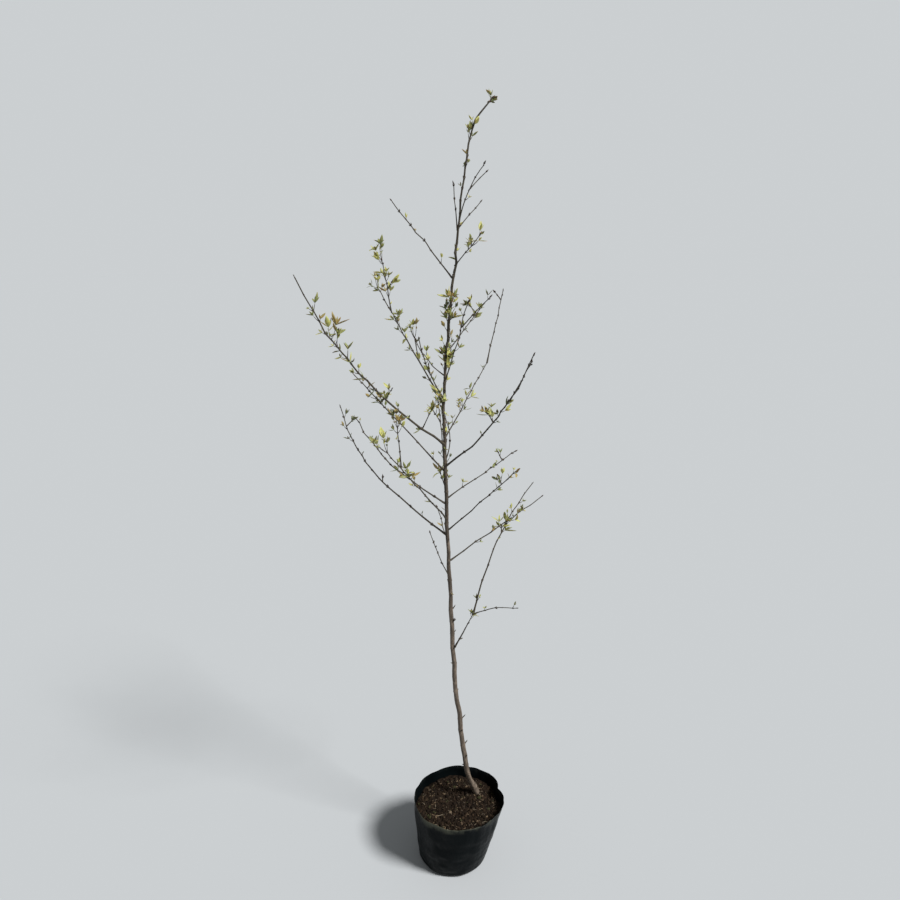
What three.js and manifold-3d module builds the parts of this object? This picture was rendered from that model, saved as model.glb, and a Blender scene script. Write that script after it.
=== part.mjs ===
// A young deciduous sapling, about 1.4 m tall, standing in a soft black nursery pot of soil.
//
// Millimetres, +Z up. The origin is the centre of the pot's flat underside. The pot, the soil,
// the trunk, every bough and every mass of leaves is one closed solid, and solids that touch
// keep GAP between them.
//
// A bough is an arc worked out step by step: it leaves its parent at a heading (degrees, 0 is
// +X, 90 is +Y) that turns evenly along it, and climbs at a rise above level that runs smoothly
// through three values, at its root, its middle and its tip.

import * as THREE from 'three';
import { mergeVertices } from 'three/addons/utils/BufferGeometryUtils.js';
import Module from 'manifold-3d';

const wasm = await Module();
wasm.setup();

// Driving sizes, in millimetres.
const GAP = 0.3;
const POT = {
  height: 135, baseRadius: 66, rimRadius: 88, belly: 2, wall: 1.2, footRound: 6,
  rimShift: 13, sides: 40, foldHeading: 14, foldDepth: 7, foldWidth: 11, foldStart: 0.45,
  oval: 1.4, ovalPhase: 0.6, threeLobes: 0.9, threeLobesPhase: 2.1,
  courses: [0.25, 0.5, 0.8, 1], footBends: [0, 30, 60],
};
const SOIL = {
  level: 113, edgeGap: 1, rings: 6, mound: 3, moundReach: 30,
  unevenness: 2.2, evenWithin: 12, unevenPast: 40, waves: [9, 11, 6],
};
const TRUNK = {
  rootRadius: 5.3, tipRadius: 1.0, taperPower: 0.95, flare: 3.4, flareHeight: 11,
  sides: 9, stations: 32, samples: 64, foot: 116, top: 1415,
  // Sideways: the waist stands furthest to the left, and the trunk bows away from it both ways,
  // kicks out at the foot, steps over at one low bend and nods to the right at its tip.
  waist: 930, waistX: -16, lowBow: 27, lowReach: 680, highBow: 36, highReach: 390, bowPower: 1.3,
  kick: 27, kickHeight: 60, bend: 345, bendStep: 5, bendOver: 20, nod: 30, nodFrom: 1340,
  // To the back: a little everywhere, and more at the foot and the tip.
  back: 5, footBack: 25, footBackHeight: 90, topBack: 20,
};
const LIMB = { sides: 6, stations: 8, tipRadius: 0.7, swellPerLength: 0.0038, taperPower: 0.8 };
const LEAF_MASS = { detail: 1, unevenness: 0.22, waves: [3.1, 2.7, 3.7] };

// How boughs grow: the rise above level, in degrees, at the root, the middle and the tip.
const HABIT = {
  upright: [80, 80, 80],
  steep: [60, 65, 65],
  even: [45, 45, 45],
  low: [35, 30, 35],
  rising: [35, 45, 65],
  arching: [30, 40, 80],
  bending: [75, 60, 40],
  levelling: [35, 20, 5],
};

// Boughs from the ground up. `at` is a height on the trunk, or a share of the bough that it
// grows `from`. The root's radius follows from the length, unless the bough carries a fork.
const BOUGHS = [
  { name: 'bough_01', at: 460, heading: -20, habit: 'steep', length: 90, root: 2 },
  { name: 'bough_01_upper', from: 'bough_01', at: 1, heading: 35, habit: 'bending', length: 270 },
  { name: 'bough_01_outer', from: 'bough_01', at: 1, heading: -25, habit: 'levelling', length: 90 },
  { name: 'bough_02', at: 610, heading: 225, habit: 'steep', length: 110 },
  { name: 'bough_03', at: 640, heading: 15, habit: 'low', length: 210 },
  { name: 'bough_04', at: 680, heading: 115, habit: 'even', length: 70 },
  { name: 'bough_05', at: 690, heading: 155, habit: 'arching', length: 320 },
  { name: 'bough_06', at: 700, heading: -20, habit: 'even', length: 180 },
  { name: 'bough_07', at: 720, heading: 235, habit: 'even', length: 240 },
  { name: 'bough_07_side', from: 'bough_07', at: 0.75, heading: 250, habit: 'upright', length: 90 },
  { name: 'bough_08', at: 750, heading: 195, habit: 'rising', length: 230 },
  { name: 'bough_09', at: 760, heading: 15, habit: 'low', length: 150 },
  { name: 'bough_10', at: 790, heading: 120, habit: 'upright', length: 150 },
  { name: 'bough_10_side', at: 810, heading: 165, habit: 'even', length: 240 },
  { name: 'bough_11', at: 820, heading: -50, habit: 'rising', length: 300 },
  { name: 'bough_11_side', from: 'bough_11', at: 0.7, heading: -70, habit: 'even', length: 100 },
  { name: 'bough_12', at: 830, heading: 30, turn: 150, habit: 'steep', length: 100 },
  { name: 'bough_13', at: 860, heading: 220, habit: 'rising', length: 400 },
  { name: 'bough_13_side', from: 'bough_13', at: 0.15, heading: -15, habit: 'steep', length: 60 },
  { name: 'bough_14', at: 870, heading: 50, habit: 'even', length: 170 },
  { name: 'bough_14_upper', from: 'bough_14', at: 1, heading: 60, habit: 'steep', length: 140 },
  { name: 'bough_15', at: 930, heading: 130, habit: 'even', length: 280 },
  { name: 'bough_15_upper', from: 'bough_15', at: 0.75, heading: 205, habit: 'upright', length: 110 },
  { name: 'bough_15_side', from: 'bough_15', at: 0.35, heading: 200, habit: 'upright', length: 60 },
  { name: 'bough_16', at: 940, heading: 250, habit: 'rising', length: 160 },
  { name: 'bough_17', at: 970, heading: -55, habit: 'steep', length: 150 },
  { name: 'bough_17_side', from: 'bough_17', at: 0.7, heading: -25, habit: 'even', length: 70 },
  { name: 'bough_18', at: 980, heading: 220, habit: 'rising', length: 90 },
  { name: 'bough_19', at: 1020, heading: 35, habit: 'even', length: 110 },
  { name: 'bough_20', at: 1140, heading: 145, habit: 'even', length: 180 },
  { name: 'bough_21', at: 1160, heading: -35, habit: 'even', length: 70 },
  { name: 'bough_22', at: 1220, heading: 30, habit: 'even', length: 60 },
  { name: 'bough_23', at: 1210, heading: 120, habit: 'upright', length: 80 },
  { name: 'bough_24', at: 1230, heading: -40, habit: 'bending', length: 100 },
  { name: 'bough_24_side', from: 'bough_24', at: 0.5, heading: 10, habit: 'even', length: 40 },
];

// Half width and half height of a mass of leaves.
const SPRAY = { small: [12, 13], middling: [15, 17], large: [18, 22] };

// Masses of leaves. `at` places the middle on its limb as above, and `lift` raises it. A mass
// with `ends` closes its bough, which stops at it.
const LEAF_MASSES = [
  { name: 'leaves_on_bough_01', on: 'bough_01', at: 0.95, lift: 0, spray: 'small' },
  { name: 'leaves_on_bough_07_low', on: 'bough_07', at: 0.65, lift: 0, spray: 'small' },
  { name: 'leaves_on_bough_07_tip', on: 'bough_07', at: 1, lift: 5, spray: 'large', ends: true },
  { name: 'leaves_on_bough_07_side', on: 'bough_07_side', at: 0.95, lift: 0, spray: 'middling', ends: true },
  { name: 'leaves_on_bough_10', on: 'bough_10_side', at: 0.7, lift: 5, spray: 'small' },
  { name: 'leaves_on_bough_13_high', on: 'bough_13', at: 0.7, lift: 20, spray: 'large' },
  { name: 'leaves_on_bough_13_side', on: 'bough_13_side', at: 0.95, lift: 0, spray: 'middling', ends: true },
  { name: 'leaves_on_bough_14', on: 'bough_14', at: 0.4, lift: 5, spray: 'small' },
  { name: 'leaves_on_bough_15_middle', on: 'bough_15', at: 0.65, lift: 10, spray: 'middling' },
  { name: 'leaves_on_bough_15_tip', on: 'bough_15', at: 1, lift: 5, spray: 'middling', ends: true },
  { name: 'leaves_on_bough_15_upper', on: 'bough_15_upper', at: 0.95, lift: 5, spray: 'large', ends: true },
  { name: 'leaves_on_bough_15_inner', on: 'bough_15_upper', at: 0.5, lift: 5, spray: 'small' },
  { name: 'leaves_on_bough_15_side', on: 'bough_15_side', at: 0.9, lift: 0, spray: 'middling', ends: true },
  { name: 'leaves_on_bough_21', on: 'bough_21', at: 0.65, lift: 0, spray: 'small' },
  { name: 'leaves_on_trunk_low', on: 'trunk', at: 1010, lift: 0, spray: 'middling' },
  { name: 'leaves_on_trunk_middle', on: 'trunk', at: 1080, lift: 0, spray: 'middling' },
  { name: 'leaves_on_trunk_high', on: 'trunk', at: 1370, lift: 0, spray: 'small' },
  { name: 'leaves_on_trunk_tip', on: 'trunk', at: 1412, lift: 0, spray: 'small' },
];

const FINISH = {
  pot: { color: 0x15191b, roughness: 0.55, metalness: 0 },
  soil: { color: 0x3a2a20, roughness: 1, metalness: 0 },
  trunk: { color: 0x7c6a55, roughness: 0.85, metalness: 0 },
  bough: { color: 0x5a4838, roughness: 0.85, metalness: 0 },
  leaves: { color: 0x8c9448, roughness: 0.7, metalness: 0 },
};

const { lerp, degToRad, smoothstep } = THREE.MathUtils;

// A closed skin over a stack of rings with the same number of points, each running
// anticlockwise about the way the stack goes. Both ends close in a fan at the ring's middle.
function skinOverRings(rings) {
  const count = rings[0].length;
  const positions = rings.flat();
  const faces = [];
  for (let ring = 0; ring < rings.length - 1; ring++) {
    for (let side = 0; side < count; side++) {
      const next = (side + 1) % count;
      const [a, b] = [ring * count + side, ring * count + next];
      faces.push(a, b, b + count, a, b + count, a + count);
    }
  }
  for (const [ring, start] of [[0, true], [rings.length - 1, false]]) {
    const middle = new THREE.Vector3();
    rings[ring].forEach((point) => middle.addScaledVector(point, 1 / count));
    positions.push(middle);
    for (let side = 0; side < count; side++) {
      const [a, b] = [ring * count + side, ring * count + ((side + 1) % count)];
      faces.push(...(start ? [b, a] : [a, b]), positions.length - 1);
    }
  }
  const geometry = new THREE.BufferGeometry().setFromPoints(positions);
  geometry.setIndex(faces);
  return geometry;
}

function toManifold(geometry) {
  const bare = geometry.clone();
  bare.deleteAttribute('normal');
  bare.deleteAttribute('uv');
  const merged = mergeVertices(bare, 1e-4);
  return new wasm.Manifold(new wasm.Mesh({
    numProp: 3,
    vertProperties: new Float32Array(merged.attributes.position.array),
    triVerts: new Uint32Array(merged.index.array),
  }));
}

// The solid without the others. Where the cut leaves several pieces, the biggest is kept.
function cutBy(solid, others) {
  let left = solid;
  for (const other of others) left = left.subtract(other);
  return left.decompose().reduce((big, piece) => (piece.volume() > big.volume() ? piece : big));
}

function toGeometry(solid) {
  const mesh = solid.getMesh();
  const geometry = new THREE.BufferGeometry();
  geometry.setAttribute('position', new THREE.BufferAttribute(mesh.vertProperties, mesh.numProp));
  geometry.setIndex(new THREE.BufferAttribute(mesh.triVerts, 1));
  return geometry;
}

// --- Pot and soil -------------------------------------------------------------------------

// How far the pot's wall stands from its middle at a height and a heading. The wall widens
// with a slight belly, sags a little out of round towards the rim, and has one fold there.
function wallRadius(height, angle) {
  const up = height / POT.height;
  const round = lerp(POT.baseRadius, POT.rimRadius, up) + POT.belly * Math.sin(Math.PI * up);
  const oval = POT.oval * Math.sin(2 * angle + POT.ovalPhase);
  const slack = oval + POT.threeLobes * Math.sin(3 * angle + POT.threeLobesPhase);
  const away = angle - degToRad(POT.foldHeading);
  const turned = Math.atan2(Math.sin(away), Math.cos(away));
  const fold = POT.foldDepth * Math.exp(-((turned / degToRad(POT.foldWidth)) ** 2));
  return round + up * slack - smoothstep(up, POT.foldStart, 1) * fold;
}

// A ring of the wall at a height, moved in by an inset. The rim leans out over the base.
function wallRing(height, inset, share = 1, lift = () => 0) {
  const shift = POT.rimShift * (height / POT.height);
  return Array.from({ length: POT.sides }, (_, side) => {
    const angle = (2 * Math.PI * side) / POT.sides;
    const radius = (wallRadius(height, angle) - inset) * share;
    const [x, y] = [shift + radius * Math.cos(angle), radius * Math.sin(angle)];
    return new THREE.Vector3(x, y, height + lift(x, y));
  });
}

// Rings up the wall from a floor inset at its foot to a top height.
function wallCourses(floor, floorInset, inset, top) {
  const heights = POT.courses.map((share) => share * POT.height).filter((height) => height < top);
  return [wallRing(floor, floorInset), ...[...heights, top].map((height) => wallRing(height, inset))];
}

function makePot() {
  const { height, wall, footRound, footBends } = POT;
  const foot = footBends.map((bend) => {
    const inset = footRound * (1 - Math.sin(degToRad(bend)));
    return wallRing(footRound * (1 - Math.cos(degToRad(bend))), inset);
  });
  const body = skinOverRings([...foot, ...wallCourses(footRound, 0, 0, height)]);
  const hollow = wallCourses(wall, footRound, wall, height);
  const above = hollow.at(-1).map((point) => point.clone().setZ(height + 1));
  return toGeometry(cutBy(toManifold(body), [toManifold(skinOverRings([...hollow, above]))]));
}

// The soil fills the pot to its level, with a low mound at the trunk and an uneven top.
function soilLift(x, y) {
  const foot = trunkPoint(TRUNK.foot);
  const away = Math.hypot(x - foot.x, y - foot.y);
  const [waveX, waveY, slanted] = SOIL.waves;
  const bumps = Math.sin(x / waveX + 1) * Math.cos(y / waveY) + 0.6 * Math.sin((x + y) / slanted);
  const mound = SOIL.mound * Math.exp(-((away / SOIL.moundReach) ** 2));
  return mound + SOIL.unevenness * bumps * smoothstep(away, SOIL.evenWithin, SOIL.unevenPast);
}

function makeSoil() {
  const rings = wallCourses(POT.wall + GAP, POT.footRound + 2 * GAP, POT.wall + GAP, SOIL.level);
  for (let ring = SOIL.rings - 1; ring > 0; ring--) {
    rings.push(wallRing(SOIL.level, POT.wall + SOIL.edgeGap, ring / SOIL.rings, soilLift));
  }
  return skinOverRings(rings);
}

// --- Trunk and boughs ---------------------------------------------------------------------

// A limb is its curve, its radius at each share of its length, and its numbers of sides and
// stations. Grown by a margin, it is the room that its neighbours leave free.
function skinLimb(limb, margin = 0) {
  const { curve, radiusAt, sides, stations, flatFoot } = limb;
  const frames = curve.computeFrenetFrames(stations, false);
  const rings = [];
  for (let station = 0; station <= stations; station++) {
    const share = station / stations;
    const middle = curve.getPointAt(share);
    const radius = radiusAt(share) + margin;
    if (station === 0) middle.addScaledVector(frames.tangents[0], -margin);
    if (station === stations) middle.addScaledVector(frames.tangents[stations], margin);
    rings.push(Array.from({ length: sides }, (_, side) => {
      const angle = (2 * Math.PI * side) / sides;
      const point = middle.clone();
      point.addScaledVector(frames.normals[station], radius * Math.cos(angle));
      point.addScaledVector(frames.binormals[station], radius * Math.sin(angle));
      if (flatFoot && station === 0) point.z = middle.z;
      return point;
    }));
  }
  return skinOverRings(rings);
}

// The middle of the trunk at a height.
function trunkPoint(height) {
  const above = height - TRUNK.foot;
  const [bow, reach] = height < TRUNK.waist
    ? [TRUNK.lowBow, TRUNK.lowReach] : [TRUNK.highBow, TRUNK.highReach];
  const bowed = bow * (Math.abs(height - TRUNK.waist) / reach) ** TRUNK.bowPower;
  const kicked = TRUNK.kick * Math.exp(-above / TRUNK.kickHeight);
  const { bend, bendOver } = TRUNK;
  const past = smoothstep(height, bend - bendOver / 2, bend + bendOver / 2);
  const stepped = TRUNK.bendStep * (1 - past);
  const nodded = TRUNK.nod * (Math.max(0, height - TRUNK.nodFrom) / (TRUNK.top - TRUNK.nodFrom)) ** 3;
  const high = Math.max(0, height - TRUNK.waist) / (TRUNK.top - TRUNK.waist);
  const y = TRUNK.back + TRUNK.footBack * Math.exp(-above / TRUNK.footBackHeight) + TRUNK.topBack * high ** 2;
  return new THREE.Vector3(TRUNK.waistX + bowed + kicked + stepped + nodded, y, height + GAP);
}

function makeTrunk() {
  const points = Array.from({ length: TRUNK.samples + 1 }, (_, sample) =>
    trunkPoint(lerp(TRUNK.foot, TRUNK.top, sample / TRUNK.samples)));
  const curve = new THREE.CatmullRomCurve3(points, false, 'centripetal');
  const length = curve.getLength();
  const radiusAt = (share) => {
    const taper = (1 - share) ** TRUNK.taperPower;
    const flare = TRUNK.flare * Math.exp(-(share * length) / TRUNK.flareHeight);
    return lerp(TRUNK.tipRadius, TRUNK.rootRadius, taper) + flare;
  };
  return { curve, radiusAt, sides: TRUNK.sides, stations: TRUNK.stations, flatFoot: true };
}

// The point of a limb at a height up the trunk, or at a share of a bough's length.
function pointOn(limb, at) {
  if (at <= 1) return limb.curve.getPointAt(at);
  let [low, high] = [0, 1];
  for (let halving = 0; halving < 30; halving++) {
    const middle = (low + high) / 2;
    if (limb.curve.getPointAt(middle).z < at) low = middle;
    else high = middle;
  }
  return limb.curve.getPointAt(low);
}

function makeBough({ at, heading, turn = 0, habit, length, root }, parent) {
  const steps = 2 * LIMB.stations;
  const points = [pointOn(parent, at)];
  const [low, middle, high] = HABIT[habit];
  for (let step = 0; step < steps; step++) {
    const s = (step + 0.5) / steps;
    const [fromLow, fromMiddle, fromHigh] = [(1 - s) * (1 - 2 * s), 4 * s * (1 - s), s * (2 * s - 1)];
    const climb = degToRad(low * fromLow + middle * fromMiddle + high * fromHigh);
    const bearing = degToRad(heading + turn * s);
    const level = Math.cos(climb);
    const way = new THREE.Vector3(level * Math.cos(bearing), level * Math.sin(bearing), Math.sin(climb));
    points.push(points.at(-1).clone().addScaledVector(way, length / steps));
  }
  const curve = new THREE.CatmullRomCurve3(points, false, 'centripetal');
  const thickest = root ?? LIMB.tipRadius + LIMB.swellPerLength * length;
  const radiusAt = (share) => lerp(thickest, LIMB.tipRadius, share ** LIMB.taperPower);
  return { curve, radiusAt, sides: LIMB.sides, stations: LIMB.stations };
}

// --- Masses of leaves ---------------------------------------------------------------------

// An egg whose skin is pushed in and out by three waves that differ from mass to mass.
function makeLeafMass({ on, at, lift, spray }, limbs, seed, margin = 0) {
  const middle = pointOn(limbs.get(on), at).add(new THREE.Vector3(0, 0, lift));
  const bare = new THREE.IcosahedronGeometry(1, LEAF_MASS.detail);
  bare.deleteAttribute('normal');
  bare.deleteAttribute('uv');
  const geometry = mergeVertices(bare, 1e-4);
  const positions = geometry.attributes.position;
  const [waveX, waveY, waveZ] = LEAF_MASS.waves;
  for (let index = 0; index < positions.count; index++) {
    const way = new THREE.Vector3().fromBufferAttribute(positions, index);
    const level = Math.sin(waveX * way.x + seed) + Math.sin(waveY * way.y + 2 * seed);
    const wave = level + Math.sin(waveZ * way.z + 3 * seed);
    const swell = 1 - LEAF_MASS.unevenness * (0.5 + wave / 6);
    const [wide, tall] = SPRAY[spray].map((size) => size * swell + margin);
    positions.setXYZ(index, middle.x + way.x * wide, middle.y + way.y * wide, middle.z + way.z * tall);
  }
  return geometry;
}

// --- The whole plant ----------------------------------------------------------------------

const sapling = new THREE.Group();

function addNode(name, geometry, finish) {
  const mesh = new THREE.Mesh(geometry, new THREE.MeshStandardMaterial(FINISH[finish]));
  mesh.name = name;
  sapling.add(mesh);
}

const limbs = new Map([['trunk', makeTrunk()]]);
for (const bough of BOUGHS) limbs.set(bough.name, makeBough(bough, limbs.get(bough.from ?? 'trunk')));

const room = new Map();
for (const [name, limb] of limbs) room.set(name, toManifold(skinLimb(limb, GAP)));

const closing = new Map();
LEAF_MASSES.forEach((mass, index) => {
  if (!mass.ends) return;
  closing.set(mass.on, [...(closing.get(mass.on) ?? []), toManifold(makeLeafMass(mass, limbs, index, GAP))]);
});

addNode('pot', makePot(), 'pot');
addNode('soil', toGeometry(cutBy(toManifold(makeSoil()), [room.get('trunk')])), 'soil');
addNode('trunk', skinLimb(limbs.get('trunk')), 'trunk');

const earlier = [room.get('trunk')];
for (const { name } of BOUGHS) {
  const cutters = [...earlier, ...(closing.get(name) ?? [])];
  addNode(name, toGeometry(cutBy(toManifold(skinLimb(limbs.get(name))), cutters)), 'bough');
  earlier.push(room.get(name));
}

LEAF_MASSES.forEach((mass, index) => {
  const cutters = [...room].filter(([name]) => !(mass.ends && name === mass.on)).map(([, solid]) => solid);
  addNode(mass.name, toGeometry(cutBy(toManifold(makeLeafMass(mass, limbs, index)), cutters)), 'leaves');
});

export default sapling;
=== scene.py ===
"""Looks of a young tree in a soft nursery pot: bark, buds, young leaves, soil and pot film.

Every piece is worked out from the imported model's nodes. The trunk and boughs are read back from
their solids as middle lines with radii, and shoots, buds and leaves grow on from them by a seeded
rule: pairs at each node, each pair turned a quarter round from the last.
"""

import math
from dataclasses import dataclass, field

import bpy
import numpy as np
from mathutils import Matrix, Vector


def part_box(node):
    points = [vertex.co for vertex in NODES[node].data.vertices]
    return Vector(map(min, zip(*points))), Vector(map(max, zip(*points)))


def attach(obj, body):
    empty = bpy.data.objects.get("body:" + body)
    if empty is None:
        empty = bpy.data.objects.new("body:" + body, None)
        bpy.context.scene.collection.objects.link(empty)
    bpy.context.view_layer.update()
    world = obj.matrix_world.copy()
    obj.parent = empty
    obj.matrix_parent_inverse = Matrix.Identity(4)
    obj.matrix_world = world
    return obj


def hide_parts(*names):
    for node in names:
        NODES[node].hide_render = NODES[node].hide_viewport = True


bl_info = {
    "name": "Potted sapling",
    "version": (1, 0, 0),
    "blender": (4, 5, 0),
    "location": "3D View > Sidebar > Sapling",
    "description": "Bark, buds, leaves, soil and pot film for a young tree in a nursery pot",
    "category": "Add Mesh",
}

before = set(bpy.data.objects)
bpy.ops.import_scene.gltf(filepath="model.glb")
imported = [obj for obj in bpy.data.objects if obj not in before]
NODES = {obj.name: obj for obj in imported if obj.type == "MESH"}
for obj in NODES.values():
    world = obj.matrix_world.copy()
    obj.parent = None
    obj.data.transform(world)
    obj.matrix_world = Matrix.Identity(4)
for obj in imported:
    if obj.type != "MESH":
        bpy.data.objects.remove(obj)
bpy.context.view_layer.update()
BOUGHS = sorted(name for name in NODES if name.startswith("bough"))
LEAF_MASSES = sorted(name for name in NODES if name.startswith("leaves"))
MM = 0.001
UP = np.array([0.0, 0.0, 1.0])
TAU = 2 * math.pi


# --- Arrays -----------------------------------------------------------------------------


def unit(vectors):
    """Each vector divided by its own length."""
    return vectors / np.maximum(np.linalg.norm(vectors, axis=-1, keepdims=True), 1e-12)


def across(vectors, ways):
    """What is left of each vector when its share along a unit way is taken off."""
    return vectors - (vectors * ways).sum(-1, keepdims=True) * ways


def smooth_step(low, high, values):
    """0 below low and 1 above high, with 3t^2 - 2t^3 between them."""
    t = np.clip((values - low) / (high - low), 0, 1)
    return t * t * (3 - 2 * t)


class Waves:
    """Smooth seeded noise: a sum of plane waves in random directions, with lengths about `size`, scaled
    so that its usual value is near 1 either way.
    """

    def __init__(self, seed, size, count=24):
        rng = np.random.default_rng(seed)
        lengths = size * rng.uniform(0.6, 1.5, count)
        self.waves = unit(rng.normal(size=(count, 3))) * (TAU / lengths)[:, None]
        self.phases = rng.uniform(0, TAU, count)

    def at(self, points):
        waves = np.sin(points @ self.waves.T + self.phases)
        return waves.sum(-1) * math.sqrt(1.0 / len(self.phases))


def distances(points, others):
    """The distance from each point to each of the others."""
    return np.linalg.norm(points[:, None] - others[None], axis=-1)


# --- Meshes -----------------------------------------------------------------------------


@dataclass
class Skin:
    """Vertices, arrays of faces, a finish for each face in arrays to match, and values for each vertex."""

    points: np.ndarray
    faces: list
    layers: dict = field(default_factory=dict)
    finishes: list = field(default_factory=list)


def strand_faces(count, stations, around):
    """Faces of closed strands whose vertices run ring by ring: quads between the rings, and one flat
    face over each end.
    """
    ring = np.arange(around)
    starts = (np.arange(stations - 1) * around)[:, None]
    a, b = starts + ring, starts + (ring + 1) % around
    quads = np.stack([a, b, b + around, a + around], -1).reshape(-1, 4)
    ends = np.stack([ring[::-1], (stations - 1) * around + ring])
    offsets = (np.arange(count) * stations * around)[:, None, None]
    return [(quads + offsets).reshape(-1, 4), (ends + offsets).reshape(-1, around)]


def strand_points(centres, sides, wide, thick, around, fold=0.0, turn=0.0):
    """Rings round each strand's middle line, as (strands, stations, around, 3).

    A ring point is centre + side * wide * cos(a) + face * (thick * sin(a) + fold * |wide * cos(a)|),
    where face is the way along the strand crossed with the side. A fold above 0 makes a blade with
    a gutter along its middle.
    """
    ways = unit(np.gradient(centres, axis=1))
    sides = unit(across(sides, ways))
    faces = np.cross(ways, sides)
    angles = TAU * np.arange(around) / around + turn
    out = wide[..., None] * np.cos(angles)
    rise = thick[..., None] * np.sin(angles) + np.asarray(fold)[..., None] * np.abs(out)
    return (
        centres[:, :, None]
        + sides[:, :, None] * out[..., None]
        + faces[:, :, None] * rise[..., None]
    )


def strands(centres, sides, wide, thick=None, around=6, fold=0.0, kinds=None, **layers):
    """A skin of many closed strands. `kinds` gives each strand its finish, and a layer holds one value
    per strand or per station.
    """
    count, stations = centres.shape[:2]
    thick = wide if thick is None else thick
    points = strand_points(centres, sides, wide, thick, around, fold)
    faces = strand_faces(count, stations, around)
    spread = {}
    for name, values in layers.items():
        values = values[:, None] if values.ndim == 1 else values
        full = np.broadcast_to(values[..., None], (count, stations, around))
        spread[name] = full.reshape(-1)
    finishes = [] if kinds is None else [np.repeat(kinds, len(f) // count) for f in faces]
    return Skin(points.reshape(-1, 3), faces, spread, finishes)


def joined(skins):
    """Several skins as one, with their faces counted on."""
    offsets = np.cumsum([0] + [len(s.points) for s in skins[:-1]])
    faces = [f + offset for s, offset in zip(skins, offsets) for f in s.faces]
    layers = {n: np.concatenate([s.layers[n] for s in skins]) for n in skins[0].layers}
    finishes = [kinds for s in skins for kinds in s.finishes]
    return Skin(np.concatenate([s.points for s in skins]), faces, layers, finishes)


def new_piece(name, skin, materials, replaces=(), smooth=True):
    """A mesh object at the origin that rides on the plant's one body and stands for the named CAD nodes."""
    mesh = bpy.data.meshes.new(name)
    corners = np.concatenate([f.ravel() for f in skin.faces]).astype(np.int32)
    sizes = np.concatenate([np.full(len(f), f.shape[1]) for f in skin.faces])
    starts = np.concatenate([[0], np.cumsum(sizes)[:-1]]).astype(np.int32)
    mesh.vertices.add(len(skin.points))
    mesh.vertices.foreach_set("co", skin.points.astype(np.float32).ravel())
    mesh.loops.add(len(corners))
    mesh.loops.foreach_set("vertex_index", corners)
    mesh.polygons.add(len(sizes))
    mesh.polygons.foreach_set("loop_start", starts)
    mesh.polygons.foreach_set("use_smooth", np.full(len(sizes), smooth))
    for material in materials:
        mesh.materials.append(material)
    if skin.finishes:
        kinds = np.concatenate(skin.finishes).astype(np.int32)
        mesh.polygons.foreach_set("material_index", kinds)
    for layer, values in skin.layers.items():
        made = mesh.attributes.new(layer, "FLOAT", "POINT")
        made.data.foreach_set("value", values.astype(np.float32))
    mesh.update(calc_edges=True)
    if mesh.validate():
        raise RuntimeError(f"{name} had faces that a mesh can't hold")
    piece = bpy.data.objects.new(name, mesh)
    bpy.context.scene.collection.objects.link(piece)
    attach(piece, "root")
    if replaces:
        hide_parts(*replaces)
    return piece


# --- Reading the limbs back from their solids ---------------------------------------------


@dataclass
class Limb:
    """A middle line of evenly spaced points from root to tip, with the radius at each."""

    name: str
    line: np.ndarray
    radius: np.ndarray

    @property
    def length(self):
        return np.linalg.norm(np.diff(self.line, axis=0), axis=1).sum()

    def at(self, shares):
        """Points, ways and radii at shares of the length."""
        own = np.linspace(0, 1, len(self.line))
        ways = unit(np.gradient(self.line, axis=0))
        points = np.stack([np.interp(shares, own, c) for c in self.line.T], -1)
        heads = np.stack([np.interp(shares, own, c) for c in ways.T], -1)
        return points, unit(heads), np.interp(shares, own, self.radius)


def skin_samples(node, count):
    """Seeded points spread evenly over a CAD node's skin: triangles are drawn by their area, and a
    point in each by two random shares.
    """
    mesh = NODES[node].data
    mesh.calc_loop_triangles()
    corners = np.empty(len(mesh.loop_triangles) * 3, np.int32)
    mesh.loop_triangles.foreach_get("vertices", corners)
    places = np.empty(len(mesh.vertices) * 3, np.float32)
    mesh.vertices.foreach_get("co", places)
    a, b, c = places.reshape(-1, 3)[corners.reshape(-1, 3)].astype(float).transpose(1, 0, 2)
    areas = np.linalg.norm(np.cross(b - a, c - a), axis=1)
    rng = np.random.default_rng(7)
    drawn = rng.choice(len(areas), count, p=areas / areas.sum())
    u, v = rng.random((2, count, 1))
    u, v = np.where(u + v > 1, 1 - u, u), np.where(u + v > 1, 1 - v, v)
    return a[drawn] + u * (b - a)[drawn] + v * (c - a)[drawn]


def bin_means(values, bins, count):
    """The mean of the values that fall in each bin, filled in evenly over empty bins."""
    held = np.bincount(bins, minlength=count)
    sums = np.stack([np.bincount(bins, v, count) for v in values.T], -1)
    full = np.flatnonzero(held)
    means = sums[full] / held[full, None]
    return np.stack([np.interp(np.arange(count), full, m) for m in means.T], -1)


def evenly(line, values, count, ease):
    """A line and the values along it at even steps, each smoothed over `ease` neighbours by a bell-
    shaped mean, with the two ends kept.
    """
    steps = np.linalg.norm(np.diff(line, axis=0), axis=1)
    own = np.concatenate([[0], np.cumsum(steps)])
    even = np.linspace(0, own[-1], count)
    columns = np.column_stack([line, values])
    rows = np.stack([np.interp(even, own, c) for c in columns.T], -1)
    bell = np.exp(-np.linspace(-2, 2, 2 * ease + 1) ** 2)
    head, tail = 2 * rows[0] - rows[ease:0:-1], 2 * rows[-1] - rows[-2 : -ease - 2 : -1]
    padded = np.concatenate([head, rows, tail])
    eased = np.stack([np.convolve(c, bell / bell.sum(), "valid") for c in padded.T], -1)
    return eased[:, :3], eased[:, 3]


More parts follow.
